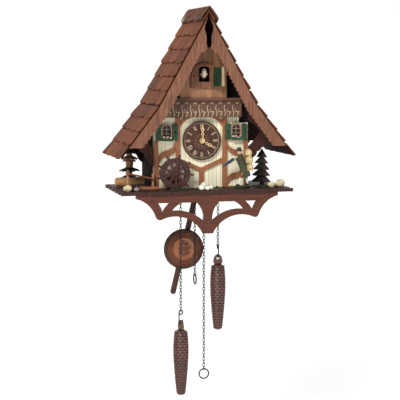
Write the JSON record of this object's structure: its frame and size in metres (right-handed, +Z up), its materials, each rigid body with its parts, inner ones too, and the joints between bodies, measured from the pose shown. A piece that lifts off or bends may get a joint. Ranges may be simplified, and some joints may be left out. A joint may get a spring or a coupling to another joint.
{
  "type": "chalet cuckoo clock",
  "caption": "Wall-hung wooden chalet cuckoo clock with shingled roof, bird door, dial, water wheel, figure, pendulum, chains and cone weights.",
  "frame": {"origin": "centre of the hanger hole in the plane of the back panel, which lies against the wall", "axes": "+X to the right seen from the front, +Y into the wall, +Z up; the dial faces -Y"},
  "size_m": [0.274, 0.1325, 0.5943],
  "materials": {
    "roof_board": "stained",
    "shingle": "stained, matt",
    "ridge": "weathered stain",
    "timber": "stained, satin",
    "case_wood": "dark stain",
    "inner_wood": "dark stain",
    "plaster": "cream paint with grooves",
    "bracket_wood": "red-brown stain",
    "deck_wood": "stained planks",
    "board_carving": "carved and painted",
    "frame_wood": "tan paint",
    "green_paint": "green paint",
    "dial_wood": "dark paint",
    "bone_plastic": "moulded",
    "brass": "lacquered",
    "steel": "bright",
    "chain_steel": "blackened bright",
    "cone_iron": "brown lacquer",
    "pendulum_wood": "carved, dark stain",
    "bellows_wood": "plain",
    "bellows_cloth": "folded paper",
    "bird_wood": "painted",
    "tree_wood": "painted carving",
    "log_wood": "stained",
    "stone": "painted pebble",
    "figure_wood": "painted carving",
    "wheel_wood": "dark stain"
  },
  "bodies": {
    "case": {"back_panel": "case_wood", "hanger_plate": "steel", "case_screws": "steel", "side_panels": "case_wood", "inner_front_wall": "inner_wood", "facade_panel": "plaster", "timber_framing": "timber", "window_frames": "frame_wood", "shutters": "green_paint", "deck": "deck_wood", "base_bracket": "bracket_wood", "roof_boards": "roof_board", "shingles": "shingle", "ridge_shingles": "ridge", "barge_boards": "timber", "knee_braces": "timber", "gable_panel": "timber", "door_frame": "timber", "balcony": "board_carving", "dial": "dial_wood", "movement_frame": "steel", "gong": "steel", "whistle_boxes": "bellows_wood", "bellows_cloth_right": "bellows_cloth", "bellows_cloth_left": "bellows_cloth", "bird_bracket": "steel", "left_chain_weight_side": "chain_steel", "left_chain_ring_side": "chain_steel", "right_chain_weight_side": "chain_steel", "right_chain_ring_side": "chain_steel", "fir_trees": "tree_wood", "log_stack": "log_wood", "water_chute": "log_wood", "stones": "stone", "peddler_figure": "figure_wood", "peddler_pack": "frame_wood"},
    "minute_hand_body": {"minute_hand": "bone_plastic", "centre_arbor": "brass"},
    "hour_hand_body": {"hour_hand": "bone_plastic", "hour_wheel": "brass"},
    "minute_wheel_body": {"minute_wheel": "brass"},
    "going_wheel_body": {"going_chain_wheel": "brass"},
    "strike_wheel_body": {"strike_chain_wheel": "brass"},
    "escape_wheel_body": {"escape_wheel": "brass"},
    "pendulum": {"anchor": "steel", "pendulum_rod": "pendulum_wood", "pendulum_disc": "pendulum_wood"},
    "hammer": {"gong_hammer": "steel"},
    "bellows_lid_right": {"bellows_top_right": "bellows_wood"},
    "bellows_lid_left": {"bellows_top_left": "bellows_wood"},
    "door": {"cuckoo_door": "green_paint"},
    "bird_arm": {"bird": "bird_wood", "bird_lever": "steel"},
    "left_weight": {"left_weight_hook": "chain_steel", "left_cone_weight": "cone_iron"},
    "left_ring": {"left_pull_ring": "chain_steel"},
    "right_weight": {"right_weight_hook": "chain_steel", "right_cone_weight": "cone_iron"},
    "right_ring": {"right_pull_ring": "chain_steel"},
    "wheel": {"water_wheel": "wheel_wood"}
  },
  "joints": [
    {"name": "minute_hand_turn", "type": "hinge", "parent": "case", "child": "minute_hand_body", "pos_m": [0, 0, -0.1312], "axis": [0, 1, 0], "continuous": true},
    {"name": "hour_hand_turn", "type": "hinge", "parent": "case", "child": "hour_hand_body", "pos_m": [0, 0, -0.1312], "axis": [0, 1, 0], "continuous": true},
    {"name": "minute_wheel_turn", "type": "hinge", "parent": "case", "child": "minute_wheel_body", "pos_m": [0.00848, 0, -0.12272], "axis": [0, 1, 0], "continuous": true},
    {"name": "left_weight_slide", "type": "slide", "parent": "case", "child": "left_weight", "axis": [0, 0, 1], "range_m": [-0.06, 0.06], "deforming": ["left_chain_weight_side"]},
    {"name": "left_ring_slide", "type": "slide", "parent": "case", "child": "left_ring", "axis": [0, 0, 1], "range_m": [-0.06, 0.06], "deforming": ["left_chain_ring_side"]},
    {"name": "strike_wheel_turn", "type": "hinge", "parent": "case", "child": "strike_wheel_body", "pos_m": [-0.0146, 0, -0.18], "axis": [0, 1, 0], "range_deg": [-310, 310]},
    {"name": "right_weight_slide", "type": "slide", "parent": "case", "child": "right_weight", "axis": [0, 0, 1], "range_m": [-0.06, 0.04], "deforming": ["right_chain_weight_side"]},
    {"name": "right_ring_slide", "type": "slide", "parent": "case", "child": "right_ring", "axis": [0, 0, 1], "range_m": [-0.04, 0.06], "deforming": ["right_chain_ring_side"]},
    {"name": "going_wheel_turn", "type": "hinge", "parent": "case", "child": "going_wheel_body", "pos_m": [0.0221, 0, -0.18], "axis": [0, 1, 0], "range_deg": [-210, 310]},
    {"name": "escape_wheel_turn", "type": "hinge", "parent": "case", "child": "escape_wheel_body", "pos_m": [0.0193, 0, -0.149], "axis": [0, 1, 0], "continuous": true},
    {"name": "pendulum_swing", "type": "hinge", "parent": "case", "child": "pendulum", "pos_m": [0.0193, 0, -0.161], "axis": [0, -1, 0], "range_deg": [0, 27]},
    {"name": "hammer_swing", "type": "hinge", "parent": "case", "child": "hammer", "pos_m": [-0.034, 0, -0.121], "axis": [0, 1, 0], "range_deg": [0, 25]},
    {"name": "bellows_right_lift", "type": "hinge", "parent": "case", "child": "bellows_lid_right", "pos_m": [0, -0.022, -0.105], "axis": [1, 0, 0], "range_deg": [-8, 0], "deforming": ["bellows_cloth_right"]},
    {"name": "bellows_left_lift", "type": "hinge", "parent": "case", "child": "bellows_lid_left", "pos_m": [0, -0.022, -0.105], "axis": [1, 0, 0], "range_deg": [-8, 0], "deforming": ["bellows_cloth_left"]},
    {"name": "cuckoo_door_swing", "type": "hinge", "parent": "case", "child": "door", "pos_m": [0.013, -0.1042, 0], "axis": [0, 0, 1], "range_deg": [-126, 0]},
    {"name": "bird_swing", "type": "hinge", "parent": "case", "child": "bird_arm", "pos_m": [0, -0.07, -0.087], "axis": [1, 0, 0], "range_deg": [-28, 0]},
    {"name": "water_wheel_turn", "type": "hinge", "parent": "case", "child": "wheel", "pos_m": [-0.0445, 0, -0.1785], "axis": [0, 1, 0], "continuous": true}
  ],
  "couplings": [
    {"joint": "hour_hand_turn", "follows": "minute_hand_turn", "ratio": 0.083333},
    {"joint": "minute_wheel_turn", "follows": "minute_hand_turn", "ratio": -0.33333},
    {"joint": "left_ring_slide", "follows": "left_weight_slide", "ratio": -1},
    {"joint": "strike_wheel_turn", "follows": "left_weight_slide", "rad_per_m": 89.286},
    {"joint": "right_ring_slide", "follows": "right_weight_slide", "ratio": -1},
    {"joint": "going_wheel_turn", "follows": "right_weight_slide", "rad_per_m": -89.286},
    {"joint": "bird_swing", "follows": "cuckoo_door_swing", "ratio": 0.222}
  ]
}
